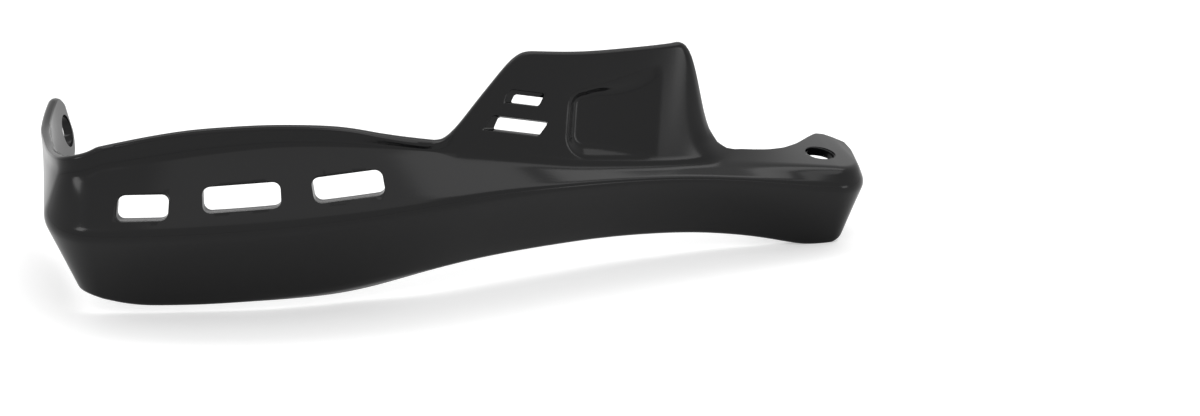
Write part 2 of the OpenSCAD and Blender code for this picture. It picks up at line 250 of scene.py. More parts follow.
RUNS = (
    (EAR_WALL_LENGTH, 0.0),
    arc_run(SIDE_BEND_R, SIDE_TURN),
    (SIDE_LENGTH, 0.0),
    arc_run(CORNER_R, CORNER_TURN),
    arc_run(BLADE_R, BLADE_TURN),
    (ARM_STRAIGHT, 0.0),
    arc_run(ARM_R, -ARM_TURN),
    arc_run(END_R, END_TURN),
    (END_LENGTH, 0.0),
)
MARKS = [0.0]
for one_run in RUNS:
    MARKS.append(MARKS[-1] + one_run[0])
CORNER_START = MARKS[3]
BLADE_START = MARKS[4]
DEFLECTOR_BEGIN = BLADE_START + DEFLECTOR_START
DEFLECTOR_END = DEFLECTOR_BEGIN + DEFLECTOR_ROOT_WIDTH
ARM_END = MARKS[7]
END_WALL = MARKS[8]
TIP = MARKS[9]


def along(pose, run, stretch):
    """Pose [x, y, heading] after a stretch of one run of the plan line."""
    length, turn = run
    swept = turn * stretch / length
    chord = stretch
    if turn:
        chord = 2 * length / math.radians(turn) * math.sin(math.radians(swept / 2))
    way = math.radians(pose[2] + swept / 2)
    return (pose[0] + chord * math.cos(way), pose[1] + chord * math.sin(way), pose[2] + swept)


POSES = [(-WALL / math.cos(math.radians(EAR_TILT)), EAR_BACK, -90.0)]
for one_run in RUNS:
    POSES.append(along(POSES[-1], one_run, one_run[0]))


def ridge_pose(s):
    """Pose of the ridge's plan line at s."""
    i = sum(1 for mark in MARKS if mark <= s) - 1
    i = max(0, min(len(RUNS) - 1, i))
    return along(POSES[i], RUNS[i], s - MARKS[i])


EAR_ANGLE = math.radians(EAR_TILT)
PLATE_ANGLE = math.radians(PLATE_TILT)
TAN_EAR = math.tan(EAR_ANGLE)
TAN_PLATE = math.tan(PLATE_ANGLE)
PLATE_NORMAL = np.array((math.sin(PLATE_ANGLE), 0.0, math.cos(PLATE_ANGLE)))
EAR_NORMAL = -np.array((math.cos(EAR_ANGLE), 0.0, math.sin(EAR_ANGLE)))

# Sections are drawn in the upright plane across the ridge, as [place along the ridge, value]
RIDGE_Z = (
    (0, 0),
    (CORNER_START, -1.5),
    (BLADE_START, -2),
    (BLADE_START + 34, 0),
    (BLADE_START + 70, RIDGE_RISE - 4.5),
    (DEFLECTOR_BEGIN, RIDGE_RISE - 1.8),
    (DEFLECTOR_BEGIN + 24, RIDGE_RISE - 1.8),
    (DEFLECTOR_BEGIN + 48, RIDGE_RISE - 3.2),
    (DEFLECTOR_END - 24, RIDGE_RISE - 5.5),
    (DEFLECTOR_END - 4, RIDGE_RISE - 8),
    (ARM_END - 18, RIDGE_RISE - 13),
    (ARM_END, RIDGE_RISE - 2 - RIDGE_FALL),
    (TIP, RIDGE_RISE - 4 - RIDGE_FALL),
)
CREASE_N = (
    (0, EAR_CREASE * TAN_EAR),
    (EAR_WALL_LENGTH - 8, EAR_CREASE * TAN_EAR),
    (CORNER_START - 20, -2),
    (CORNER_START, -5.5),
    (BLADE_START - 8, 2.5 - UPPER_DEPTH),
    (BLADE_START + 30, -UPPER_DEPTH),
    (BLADE_START + 60, -0.5 - UPPER_DEPTH),
    (BLADE_START + 90, 0.8 - UPPER_DEPTH),
    (DEFLECTOR_BEGIN, 4 - UPPER_DEPTH),
    (DEFLECTOR_BEGIN + 26, -10),
    (DEFLECTOR_BEGIN + 50, -BAND_DEPTH),
    (DEFLECTOR_END - 22, 1 - BAND_DEPTH),
    (DEFLECTOR_END, -1 - BAND_DEPTH),
    (ARM_END - 10, 1 - BAND_DEPTH),
    (ARM_END, 2.5 - BAND_DEPTH),
    (END_WALL, 5 - BAND_DEPTH),
    (TIP, 5.5 - BAND_DEPTH),
)
CREASE_Z = (
    (0, EAR_CREASE),
    (EAR_WALL_LENGTH, EAR_CREASE),
    (CORNER_START - 20, 10),
    (CORNER_START, 15),
    (BLADE_START - 4, UPPER_RISE - 5.2),
    (BLADE_START + 10, UPPER_RISE - 3.1),
    (BLADE_START + 34, UPPER_RISE - 0.3),
    (BLADE_START + 60, UPPER_RISE + 0.4),
    (BLADE_START + 80, UPPER_RISE - 1.5),
    (DEFLECTOR_BEGIN, UPPER_RISE - 8.5),
    (DEFLECTOR_BEGIN + 24, 9),
    (DEFLECTOR_BEGIN + 46, BAND_RISE + 1.6),
    (DEFLECTOR_END - 24, BAND_RISE - 0.4),
    (DEFLECTOR_END, BAND_RISE),
    (ARM_END - 30, BAND_RISE),
    (ARM_END, BAND_RISE + 3.2),
    (TIP, BAND_RISE + 3.2),
)
LOWER_N = (
    (0, (EAR_RISE - EAR_R) * TAN_EAR),
    (EAR_WALL_LENGTH, -2.5),
    (CORNER_START - 14, -7),
    (CORNER_START, -9.5),
    (BLADE_START - 10, -7.5),
    (BLADE_START, 4 - SKIRT_BACK),
    (BLADE_START + 34, -SKIRT_BACK),
    (BLADE_START + 80, -1.5 - SKIRT_BACK),
    (DEFLECTOR_BEGIN + 14, -2 - SKIRT_BACK),
    (DEFLECTOR_BEGIN + 64, -1 - SKIRT_BACK),
    (DEFLECTOR_END, 1.5 - SKIRT_BACK),
    (ARM_END - 18, 4.8 - SKIRT_BACK),
    (ARM_END, 6.6 - SKIRT_BACK),
    (END_WALL, 6.6 - SKIRT_BACK),
    (TIP, -4),
)
LOWER_Z = (
    (0, EAR_RISE - EAR_R),
    (EAR_R, EAR_RISE - EAR_R),
    (EAR_WALL_LENGTH + 6, -17),
    (EAR_WALL_LENGTH + 16, -SIDE_DROP),
    (CORNER_START, 0.4 - SIDE_DROP),
    (BLADE_START - 6, -0.6 - SIDE_DROP),
    (BLADE_START + 10, 1.7 - SKIRT_DROP),
    (BLADE_START + 34, -SKIRT_DROP),
    (BLADE_START + 80, -0.8 - SKIRT_DROP),
    (DEFLECTOR_BEGIN + 14, 2 - SKIRT_DROP),
    (DEFLECTOR_BEGIN + 54, 4 - SKIRT_DROP),
    (ARM_END - 50, 5.5 - SKIRT_DROP),
    (ARM_END - 26, 6 - SKIRT_DROP),
    (ARM_END - 8, 5.3 - SKIRT_DROP),
    (ARM_END + 4, 8.5 - SKIRT_DROP),
    (END_WALL, 14.5 - SKIRT_DROP),
    (TIP, -6),
)
STRIP_Z = (
    (0, RIM),
    (BLADE_START + 48, RIM),
    (BLADE_START + 92, STRIP_HEIGHT),
    (BLADE_START + 116, RIM),
    (TIP, RIM),
)
LIP_N = (
    (0, (EAR_R + EAR_RISE - EAR_CREASE) * TAN_EAR),
    (EAR_WALL_LENGTH - 8, 4.5 * TAN_EAR),
    (EAR_WALL_LENGTH + 10, 0),
    (CORNER_START, 0),
    (BLADE_START + 30, 1),
    (DEFLECTOR_BEGIN, 1),
)
LIP_Z = (
    (0, EAR_R + EAR_RISE - EAR_CREASE),
    (EAR_WALL_LENGTH, 4.5),
    (CORNER_START - 12, 4.5),
    (CORNER_START, 5.2),
    (BLADE_START - 9, LIP_HEIGHT - 1.1),
    (BLADE_START + 14, LIP_HEIGHT + 0.1),
    (BLADE_START + 30, LIP_HEIGHT),
    (BLADE_START + 64, LIP_HEIGHT - 1.5),
    (BLADE_START + 88, LIP_HEIGHT - 1.8),
    (DEFLECTOR_BEGIN - 5, 1.8),
)
DEFLECTOR_N = (
    (DEFLECTOR_BEGIN, 1),
    (DEFLECTOR_BEGIN + DEFLECTOR_OUTER_RUN, -DEFLECTOR_LEAN),
    (DEFLECTOR_END - DEFLECTOR_INNER_RUN, -DEFLECTOR_LEAN),
    (DEFLECTOR_END, -6),
)
DEFLECTOR_Z = (
    (DEFLECTOR_BEGIN, 1.2),
    (DEFLECTOR_BEGIN + 5, 4.5),
    (DEFLECTOR_BEGIN + DEFLECTOR_OUTER_RUN, DEFLECTOR_HEIGHT - 2),
    (DEFLECTOR_END - DEFLECTOR_INNER_RUN, DEFLECTOR_INNER_HEIGHT),
    (DEFLECTOR_END - 2, 4),
    (DEFLECTOR_END, 1),
)
DEFLECTOR_ALONG = (
    (DEFLECTOR_BEGIN, 0),
    (DEFLECTOR_BEGIN + DEFLECTOR_OUTER_RUN, 9.5),
    (DEFLECTOR_END - DEFLECTOR_INNER_RUN, 6.5),
    (DEFLECTOR_END - 2, 1.5),
    (DEFLECTOR_END, 1),
)
BACK_EDGE_X = (
    (DEFLECTOR_END, -31),
    (DEFLECTOR_END + 10, -24.5),
    (ARM_END - 24, -18),
    (ARM_END - 18, -12.5),
    (ARM_END - 12, -7.5),
    (ARM_END - 7, -3.2),
    (ARM_END - 2, -0.3),
    (ARM_END + 5, 2.5),
    (END_WALL, 5.4),
    (TIP, 9.8),
)
BACK_EDGE_Y = (
    (DEFLECTOR_END, -9.5),
    (DEFLECTOR_END + 10, -7),
    (ARM_END - 24, -3.8),
    (ARM_END - 18, 0.5),
    (ARM_END - 12, 7),
    (ARM_END - 7, 15),
    (ARM_END - 2, 19.8),
    (ARM_END + 5, 20.4),
    (END_WALL, 19),
    (TIP, 16.2),
)

# How far the bends reach to both sides of the crease and of the ridge
CREASE_REACH = (
    (DEFLECTOR_BEGIN - 10, CREASE_ROUNDING),
    (DEFLECTOR_BEGIN + 36, DEFLECTOR_CREASE_ROUNDING),
    (TIP, DEFLECTOR_CREASE_ROUNDING),
)
RIDGE_REACH = (
    (DEFLECTOR_BEGIN, RIDGE_ROUNDING),
    (DEFLECTOR_BEGIN + 40, ARM_RIDGE_ROUNDING),
    (TIP, ARM_RIDGE_ROUNDING),
)

# Weights that round a table's corners without leaving a kink in the reflections
WINDOW_POINTS = 33
WINDOW = np.linspace(-0.5, 0.5, WINDOW_POINTS)
WEIGHTS = 1 + np.cos(2 * np.pi * WINDOW)
WEIGHTS = WEIGHTS / WEIGHTS.sum()
WINDOW_SPREAD = 1.6


def lookup(table, s):
    """Value of a table at s, or at each of several places."""
    return np.interp(s, [row[0] for row in table], [row[1] for row in table])


def eased(table, s, length):
    """Value of a table at s with its corners rounded over a length."""
    return float(WEIGHTS @ lookup(table, s + WINDOW * length * WINDOW_SPREAD))


def place(s, n, z, shift=0.0):
    """Point in space from a section's [n, z] at s, moved along the heading by shift."""
    x, y, heading = ridge_pose(s)
    h = math.radians(heading)
    return np.array((
        x + n * math.sin(h) + shift * math.cos(h),
        y - n * math.cos(h) + shift * math.sin(h),
        eased(RIDGE_Z, s, RIDGE_EASE) + z,
    ))


def back_point(s):
    """Point on the back border of the plate and of the arm's flange."""
    x = PLATE_BORE[0] + float(lookup(BACK_EDGE_X, s))
    y = PLATE_BORE[1] + float(lookup(BACK_EDGE_Y, s))
    return np.array((x, y, PLATE_BORE[2] - (x - PLATE_BORE[0]) * TAN_PLATE))


def crease_nz(s):
    """Crease between the upper face and the lip, from the ridge."""
    return eased(CREASE_N, s, CREASE_EASE), eased(CREASE_Z, s, CREASE_EASE)


def top_raw(s):
    """Top border before its corners are rounded."""
    n, z = crease_nz(s)
    if s < DEFLECTOR_BEGIN:
        return place(s, n + eased(LIP_N, s, LIP_EASE), z + eased(LIP_Z, s, LIP_EASE))
    if s < DEFLECTOR_END:
        n += float(lookup(DEFLECTOR_N, s))
        z += float(lookup(DEFLECTOR_Z, s))
        return place(s, n, z, float(lookup(DEFLECTOR_ALONG, s)))
    return back_point(s)


def top_point(s):
    """Top border with its corners rounded."""
    width = FLANGE_ROUNDING if s > ARM_END - FLANGE_REACH else DEFLECTOR_ROUNDING
    places = s + WINDOW * width * WINDOW_SPREAD
    return sum(w * top_raw(p) for w, p in zip(WEIGHTS, places))


def unit(v):
    """Vector of length one."""
    return v / np.linalg.norm(v)


def corners(s, rim):
    """Top, crease, ridge, lower edge and strip at s, with the top drawn in by the rim's rounding."""
    n, z = crease_nz(s)
    low_n = eased(LOWER_N, s, LOWER_N_EASE)
    low_z = eased(LOWER_Z, s, LOWER_Z_EASE)
    strip = eased(STRIP_Z, s, STRIP_EASE)
    top = top_point(s)
    crease = place(s, n, z)
    top = top - unit(top - crease) * min(rim, RIM_LIMIT * np.linalg.norm(top - crease))
    inward = strip * low_n / low_z + (strip - RIM) * STRIP_LEAN
    points = np.array((
        top,
        crease,
        place(s, 0, 0),
        place(s, low_n, low_z),
        place(s, low_n - inward, low_z - strip),
    ))
    if s >= EAR_R:
        return points
    # The ear's end is round: its corners draw in towards its middle height
    share = math.sqrt(max(0.0, 1 - (1 - s / EAR_R) ** 2))
    z = EAR_RISE + (points[:, 2] - EAR_RISE) * share
    points[:, 0] -= (z - points[:, 2]) * TAN_EAR
    points[:, 2] = z
    return points


def ramp(t):
    """Smooth step from 0 to 1."""
    u = min(1.0, max(0.0, t))
    return u * u * (3 - 2 * u)


def rounded_least(a, b, radius):
    """Lesser of two distances to a border, with the corner between them rounded."""
    if a < radius and b < radius:
        return radius - math.hypot(radius - a, radius - b)
    return min(a, b)


def soft_least(a, b, blend):
    """Lesser of two values with a smooth change from one to the other."""
    share = min(1.0, max(0.0, 0.5 + 0.5 * (b - a) / blend))
    return b + (a - b) * share - blend * share * (1 - share)


def scoop(s, share, height):
    """Depth of the scoop at s, with share running from the top border to the crease."""
    run = s - DEFLECTOR_BEGIN - SCOOP_START - SCOOP_LEAN * (share - SCOOP_UPPER)
    if not -SCOOP_BEFORE < run < SCOOP_LENGTH + SCOOP_AFTER:
        return 0.0
    above = (1 - share) * height
    below_upper = height * (1 - SCOOP_UPPER + SCOOP_RISE * run / SCOOP_WIDTH) - above
    inside = rounded_least(run, above - SCOOP_LOW, SCOOP_CORNER)
    inside = rounded_least(inside, below_upper, SCOOP_UPPER_CORNER)
    wall = SCOOP_DEPTH / SCOOP_STEP * inside
    upper_step = SCOOP_STEP + SCOOP_SPREAD * max(0.0, run - SCOOP_SPREAD_START)
    upper_wall = SCOOP_DEPTH * ramp(below_upper / upper_step)
    base = SCOOP_DEPTH * (1 - (max(0.0, run) / SCOOP_LENGTH) ** 2)
    depth = soft_least(soft_least(wall, upper_wall, SCOOP_BLEND), base, SCOOP_BLEND)
    if depth < -SCOOP_EDGE:
        return 0.0
    if depth < SCOOP_EDGE:
        return (depth + SCOOP_EDGE) ** 2 / (4 * SCOOP_EDGE)
    return depth


def bend(a, b, c, reach, cells):
    """Rounded corner at b between a and c."""
    la, lc = np.linalg.norm(b - a), np.linalg.norm(c - b)
    r = min(reach, BEND_SHARE * la, BEND_SHARE * lc)
    p, q = b + (a - b) * r / la, b + (c - b) * r / lc
    t = np.linspace(0, 1, cells + 1)[:, None]
    return p * (1 - t) ** 2 + 2 * b * t * (1 - t) + q * t ** 2


def straight(a, b, cells):
    """Points between a and b, without them."""
    t = np.linspace(0, 1, cells + 1)[1:-1, None]
    return a + (b - a) * t


# Places along the deflector's inner border, and the border's height above the crease at each
ROLL_PLACES = np.linspace(DEFLECTOR_END - ROLL_REACH, DEFLECTOR_END + ROLL_PAST, ROLL_SAMPLES)
ROLL_HEIGHTS = [np.linalg.norm(edge[0] - edge[1]) for edge in (corners(s, 0.0) for s in ROLL_PLACES)]
HIGHEST = int(np.argmax(ROLL_HEIGHTS))


def roll(s, above):
    """Depth by which the deflector's inner border rolls back, at a height above the crease."""
    if not ROLL_PLACES[0] < s < DEFLECTOR_END:
        return 0.0
    # Read upwards, from the border's foot to its highest place
    border = np.interp(above, ROLL_HEIGHTS[:HIGHEST - 1:-1], ROLL_PLACES[:HIGHEST - 1:-1])
    near = min(1.0, max(0.0, 1 - (border - s) / ROLL_WIDTH))
    return ROLL_DEPTH * near ** 2 * ramp((above - ROLL_FOOT) / ROLL_FOOT)


def outline(c, s, crease_reach, ridge_reach):
    """One skin's line through a section's corners, from the top border to the lower one."""
    crease = bend(c[0], c[1], c[2], crease_reach, BEND_CELLS)
    ridge = bend(c[1], c[2], c[3], ridge_reach, BEND_CELLS)
    h = math.radians(ridge_pose(s)[2])
    inward = np.array((math.sin(h), -math.cos(h), 0.0))
    upper = straight(c[0], crease[0], TOP_CELLS)
    height = np.linalg.norm(c[0] - crease[0])
    below = np.linalg.norm(c[1] - crease[0])
    shares = [(k + 1) / TOP_CELLS for k in range(TOP_CELLS - 1)]
    depths = np.array([scoop(s, k, height) + roll(s, (1 - k) * height + below) for k in shares])
    upper = upper - depths[:, None] * inward
    return np.vstack((
        c[0] - roll(s, height + below) * inward,
        upper,
        crease,
        straight(crease[-1], ridge[0], FACE_CELLS),
        ridge,
        straight(ridge[-1], c[3], SKIRT_CELLS),
        c[3],
        c[4],
    ))


def row_places():
    """Places of the sections along the ridge, closer at the scoop and at the two rounded ends."""
    ear = [EAR_R * (1 - math.cos(math.radians(angle))) for angle in EAR_ROW_ANGLES]
    fine_start = DEFLECTOR_BEGIN + SCOOP_START - FINE_BEFORE
    fine_end = fine_start + SCOOP_LENGTH + FINE_EXTRA
    middle = list(np.arange(EAR_R, fine_start, ROW_GAP))
    middle += list(np.arange(fine_start, fine_end, FINE_ROW_GAP))
    middle += list(np.arange(fine_end, TIP - END_GAP, ROW_GAP))
    end = [TIP - END_ROUNDING * (1 - math.sin(math.radians(angle))) for angle in END_ROW_ANGLES]
    return ear + middle + end


def thickness_share(s):
    """Share of the wall's thickness left at the rounded ends."""
    if s < END_ROUNDING:
        return math.sqrt(max(0.0, 1 - (1 - s / END_ROUNDING) ** 2))
    if s > TIP - END_ROUNDING:
        return math.sqrt(max(0.0, 1 - ((s - TIP + END_ROUNDING) / END_ROUNDING) ** 2))
    return 1.0


def face_normals(edge_rows, places, i):
    """Outward normals of the four faces between a section's corners."""
    before, after = edge_rows[max(i - 1, 0)], edge_rows[min(i + 1, len(places) - 1)]
    s = places[i]
    on_ear = ramp((EAR_WALL_LENGTH - s) / (EAR_WALL_LENGTH - EAR_R))
    normals = []
    for k in range(4):
        # The top face takes its direction along the guard from the crease
        side = max(k, 1)
        across = edge_rows[i][k + 1] - edge_rows[i][k]
        own = np.cross(across, after[side] - before[side])
        size = np.linalg.norm(own)
        own = own / size if size > NEAR else EAR_NORMAL
        on_plate = ramp((s - ARM_END + PLATE_TURN_START) / PLATE_TURN_RUN) if k == 0 else 0.0
        own = own * (1 - on_plate) * (1 - on_ear)
        normals.append(unit(own + PLATE_NORMAL * on_plate + EAR_NORMAL * on_ear))
    return normals


def mitre(a, b):
    """Offset of a corner that moves both of its faces back by one wall."""
    return (a + b) / (1 + a @ b) * WALL


def half_turn(a, b):
    """Tangent of half the angle between two normals."""
    return np.linalg.norm(a - b) / np.linalg.norm(a + b)


def rim_arc(a, b, out, rise, cells):
    """Rounded border from a to b that stands out by rise."""
    middle, half = (a + b) / 2, (a - b) / 2
    angles = np.linspace(0, np.pi, cells + 1)[1:-1, None]
    return middle + half * np.cos(angles) + out * rise * np.sin(angles)


def section_ring(edge_rows, places, i, rim):
    """Closed ring round the wall at one section: outer skin, lower border, inner skin, top border."""
    c, s = edge_rows[i], places[i]
    n = face_normals(edge_rows, places, i)
    back = np.array((
        c[0] - WALL * n[0],
        c[1] - mitre(n[0], n[1]),
        c[2] - mitre(n[1], n[2]),
        c[3] - mitre(n[2], n[3]),
        c[4] - WALL * n[3],
    ))
    crease_reach = float(lookup(CREASE_REACH, s))
    ridge_reach = float(lookup(RIDGE_REACH, s))
    outer = outline(c, s, crease_reach, ridge_reach)
    inner_ridge = max(LEAST_ROUNDING, ridge_reach - WALL * half_turn(n[1], n[2]))
    inner = outline(back, s, crease_reach + WALL * half_turn(n[0], n[1]), inner_ridge)
    share = thickness_share(s)
    middle = (outer + inner) / 2
    outer = middle + (outer - middle) * share
    inner = middle + (inner - middle) * share
    size = np.linalg.norm(c[0] - c[4])
    up = (c[0] - c[1]) / max(np.linalg.norm(c[0] - c[1]), NEAR)
    down = (c[4] - c[3]) / max(np.linalg.norm(c[4] - c[3]), NEAR)
    top = rim_arc(inner[0], outer[0], up, min(rim, RIM_SHARE * size) * share, RIM_CELLS)
    low = rim_arc(outer[-1], inner[-1], down, min(LOW_RIM * rim, RIM_SHARE * size) * share, RIM_CELLS)
    return np.vstack((outer, low, inner[::-1], top))


def face_point(s, above):
    """Point on the sloping upper face at a distance up from the ridge."""
    c = corners(s, 0.0)
    return c[2] + unit(c[1] - c[2]) * above


def frame_at(point, ahead, up):
    """Matrix with x along the guard, y up the face and z outwards."""
    x = unit(ahead)
    z = unit(np.cross(x, up))
    y = np.cross(z, x)
    return Matrix((
        (x[0], y[0], z[0], point[0] * MM),
        (x[1], y[1], z[1], point[1] * MM),
        (x[2], y[2], z[2], point[2] * MM),
        (0, 0, 0, 1),
    ))


def blade_frame(s, above):
    """Frame on the upper face at a slot's middle."""
    ahead = face_point(s + FRAME_SPAN, above) - face_point(s - FRAME_SPAN, above)
    return frame_at(face_point(s, above), ahead, face_point(s, FACE_SPAN) - face_point(s, 0))


def deflector_frame():
    """Frame on the deflector's face at the vents."""
    s = DEFLECTOR_BEGIN + VENT_PLACE
    c = corners(s, 0.0)
    ahead = corners(s + FRAME_SPAN, 0.0)[1] - corners(s - FRAME_SPAN, 0.0)[1]
    return frame_at(c[1], ahead, c[0] - c[1])


class GuardSettings(bpy.types.PropertyGroup):
    """Finish of the moulding."""

    plastic_colour: bpy.props.FloatVectorProperty(
        name="Plastic colour",
        description="Colour of the black plastic",
        subtype="COLOR",
        size=3,
        min=0.0,
        max=1.0,
        default=(0.0032, 0.0032, 0.0035),
    )
    plastic_roughness: bpy.props.FloatProperty(
        name="Roughness",
        description="Roughness of the moulded surface",
        subtype="FACTOR",
        min=0.0,
        max=1.0,
        default=0.14,
    )
    grain_depth: bpy.props.FloatProperty(
        name="Grain depth",
        description="Strength of the fine moulded grain",
        subtype="FACTOR",
        min=0.0,
        max=1.0,
        default=0.06,
    )
    rim_rounding: bpy.props.FloatProperty(
        name="Rim rounding",
        description="Rounding of the moulding's borders",
        subtype="DISTANCE",
        unit="LENGTH",
        min=0.0002,
        max=0.0016,
        default=0.0012,
    )
    slot_bevel: bpy.props.FloatProperty(
        name="Slot bevel",
        description="Width of the rounded border round each slot",
        subtype="DISTANCE",
        unit="LENGTH",
        min=0.0003,
        max=0.002,
        default=0.0007,
    )
    vent_bevel: bpy.props.FloatProperty(
        name="Vent bevel",
        description="Width of the rounded border round each vent",
        subtype="DISTANCE",
        unit="LENGTH",
        min=0.0003,
        max=0.002,
        default=0.0005,
    )


class StageSettings(bpy.types.PropertyGroup):
    """Floor, light and camera."""

    floor_colour: bpy.props.FloatVectorProperty(
        name="Floor colour",
        description="Colour of the pale floor",
        subtype="COLOR",
        size=3,
        min=0.0,
        max=1.0,
        default=(0.9, 0.9, 0.9),
    )
    top_light: bpy.props.FloatProperty(
        name="Top light",
        description="Power of the wide lamp overhead",
        subtype="POWER",
        unit="POWER",
        min=0.0,
        default=3.2,
    )
    front_light: bpy.props.FloatProperty(
        name="Front light",
        description="Power of the wide soft lamp above the camera",
        subtype="POWER",
        unit="POWER",
        min=0.0,
        default=0.7,
    )
    side_light: bpy.props.FloatProperty(
        name="Side light",
        description="Power of the soft lamp above the inner end",
        subtype="POWER",
        unit="POWER",
        min=0.0,
        default=1.5,
    )
    low_light: bpy.props.FloatProperty(
        name="Low light",
        description="Power of the soft lamp near the floor, in front of the inner end",
        subtype="POWER",
        unit="POWER",
        min=0.0,
        default=0.7,
    )
    left_light: bpy.props.FloatProperty(
        name="Left light",
        description="Power of the small soft lamp to the left of the outer corner",
        subtype="POWER",
        unit="POWER",
        min=0.0,
        default=0.8,
    )
    camera_place: bpy.props.FloatVectorProperty(
        name="Camera place",
        description="Where the camera stands",
        subtype="XYZ",
        unit="LENGTH",
        size=3,
        default=(0.1859, -0.8591, 0.3452),
    )
    camera_fall: bpy.props.FloatProperty(
        name="Camera fall",
        description="Angle by which the camera looks down",
        subtype="ANGLE",
        unit="ROTATION",
        default=math.radians(23.56),
    )
    camera_lens: bpy.props.FloatProperty(
        name="Camera lens",
        description="Focal length for a frame 36 mm wide",
        min=10.0,
        max=300.0,
        default=79.53,
    )


def deselect():
    """Leaves edit mode with nothing selected."""
    if bpy.context.object and bpy.context.object.mode != "OBJECT":
        bpy.ops.object.mode_set(mode="OBJECT")
    bpy.ops.object.select_all(action="DESELECT")


def only(piece):
    """Selects one piece and makes it active."""
    deselect()
    piece.select_set(True)
    bpy.context.view_layer.objects.active = piece


def select_top(mesh, height):
    """Selects the faces of a cutter that lie at a height, in edit mode."""
    bpy.ops.mesh.select_all(action="DESELECT")
    bpy.ops.object.mode_set(mode="OBJECT")
    for face in mesh.polygons:
        face.select = all(abs(mesh.vertices[v].co.z - height) < NEAR for v in face.vertices)
    bpy.ops.object.mode_set(mode="EDIT")


def select_uprights(mesh):
    """Selects the edges of a box that run along z, in edit mode."""
    bpy.ops.mesh.select_mode(type="EDGE")
    bpy.ops.mesh.select_all(action="DESELECT")
    bpy.ops.object.mode_set(mode="OBJECT")
    for edge in mesh.edges:
        a, b = (mesh.vertices[v].co for v in edge.vertices)
        edge.select = abs(a.x - b.x) + abs(a.y - b.y) < NEAR
    bpy.ops.object.mode_set(mode="EDIT")


def shaped_cutter(name, corner_r, levels, matrix):
    """Cutter whose outline changes from level to level.

    Each level is (z, middle x, middle y, width, height, lean) in millimetres, the lowest first.
    """
    deselect()
    low, across, up = levels[0][0], levels[0][3], levels[0][4]
    tall = levels[1][0] - low
    bpy.ops.mesh.primitive_cube_add(size=1.0, location=(0, 0, 0))
    cutter = bpy.context.object
    cutter.name = name
    bpy.ops.object.mode_set(mode="EDIT")
    bpy.ops.transform.resize(value=(across * MM, up * MM, tall * MM), center_override=(0, 0, 0))
    bpy.ops.transform.translate(value=(0, 0, (low + tall / 2) * MM))
    select_uprights(cutter.data)
    bpy.ops.mesh.bevel(offset=corner_r * MM, segments=CORNER_SEGMENTS, affect="EDGES", profile=0.5)
    bpy.ops.mesh.select_mode(type="FACE")
    select_top(cutter.data, levels[1][0] * MM)
    for i in range(2, len(levels)):
        rise = (levels[i][0] - levels[i - 1][0]) * MM
        bpy.ops.mesh.extrude_region_move(TRANSFORM_OT_translate={"value": (0, 0, rise)})
    bpy.ops.object.mode_set(mode="OBJECT")
    for vertex in cutter.data.vertices:
        u, v = vertex.co.x / across, vertex.co.y / up
        level = min(levels, key=lambda row: abs(row[0] * MM - vertex.co.z))
        vertex.co.x = level[1] * MM + u * level[3] + v * level[5]
        vertex.co.y = level[2] * MM + v * level[4]
    bpy.ops.object.mode_set(mode="EDIT")
    bpy.ops.mesh.select_all(action="SELECT")
    bpy.ops.mesh.normals_make_consistent(inside=False)
    bpy.ops.object.mode_set(mode="OBJECT")
    cutter.matrix_world = matrix
    bpy.ops.object.transform_apply(location=True, rotation=True, scale=True)
    return cutter


def rounded_mouth(x, y, width, height, lean, flare):
    """Levels of a mouth whose border is rounded by the flare."""
    levels = []
    for step in range(FLARE_STEPS + 1):
        angle = math.radians(90 * step / FLARE_STEPS)
        wide = 2 * flare * (1 - math.cos(angle))
        levels.append((flare * (math.sin(angle) - 1), x, y, width + wide, height + wide, lean))
    levels.append((CUT_CLEAR, x, y, width + 2 * flare, height + 2 * flare, lean))
    return levels


def bore_cutter(name, diameter, matrix):
    """Round cutter of a diameter in millimetres that widens a little at the surface."""
    deselect()
    radius = diameter / 2 * MM
    flare = BORE_FLARE * MM
    depth = CUT_DEPTH * MM
    bpy.ops.mesh.primitive_cylinder_add(
        vertices=BORE_SIDES,
        radius=radius,
        depth=2 * depth,
        location=(0, 0, 0),
    )
    cutter = bpy.context.object
    cutter.name = name
    bpy.ops.object.mode_set(mode="EDIT")
    bpy.ops.mesh.select_mode(type="FACE")
    select_top(cutter.data, depth)
    bpy.ops.transform.translate(value=(0, 0, -depth - flare))
    for step in range(1, FLARE_STEPS + 1):
        now, last = (math.radians(90 * k / FLARE_STEPS) for k in (step, step - 1))
        rise = flare * (math.sin(now) - math.sin(last))
        bpy.ops.mesh.extrude_region_move(TRANSFORM_OT_translate={"value": (0, 0, rise)})
        wide = (radius + flare * (1 - math.cos(now))) / (radius + flare * (1 - math.cos(last)))
        bpy.ops.transform.resize(value=(wide, wide, 1), center_override=(0, 0, 0))
    bpy.ops.mesh.extrude_region_move(TRANSFORM_OT_translate={"value": (0, 0, CUT_CLEAR * MM)})
    bpy.ops.mesh.select_all(action="SELECT")
    bpy.ops.mesh.normals_make_consistent(inside=False)
    bpy.ops.object.mode_set(mode="OBJECT")
    cutter.matrix_world = matrix
    bpy.ops.object.transform_apply(location=True, rotation=True, scale=True)
    return cutter


